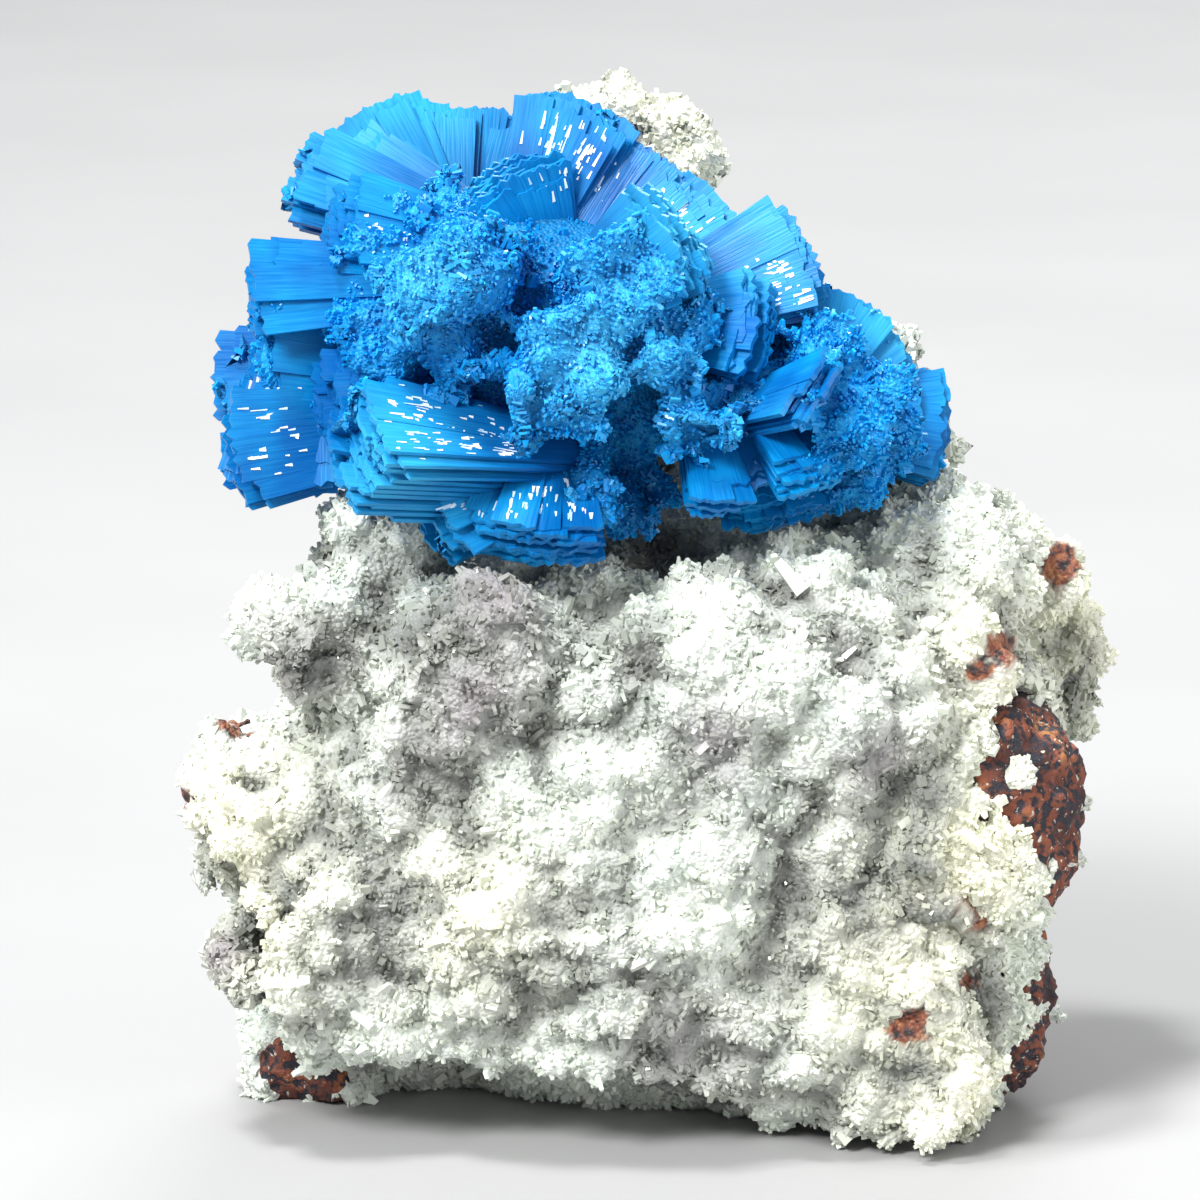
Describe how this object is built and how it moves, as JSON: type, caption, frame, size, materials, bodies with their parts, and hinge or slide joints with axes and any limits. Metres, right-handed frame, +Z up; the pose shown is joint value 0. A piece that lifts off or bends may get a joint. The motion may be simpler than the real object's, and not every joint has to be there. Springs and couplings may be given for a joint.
{
  "type": "cavansite mineral specimen",
  "caption": "Blue rosette of bladed cavansite crystals on a lumpy, pale zeolite druse over red-brown basalt, with a tall spur behind and a flat base.",
  "frame": {"origin": "middle of the bounding box on the plane that the specimen stands on", "axes": "+Z up from the base, +X to the viewer's right with the blue rosette towards the viewer, +Y away from the viewer"},
  "size_m": [0.0378, 0.0238, 0.0405],
  "materials": {
    "cavansite": "gloss",
    "zeolite": "satin",
    "basalt": "matte"
  },
  "bodies": {
    "root": {"cavansite_rosette": "cavansite", "zeolite_druse": "zeolite", "basalt_matrix": "basalt"}
  },
  "joints": []
}
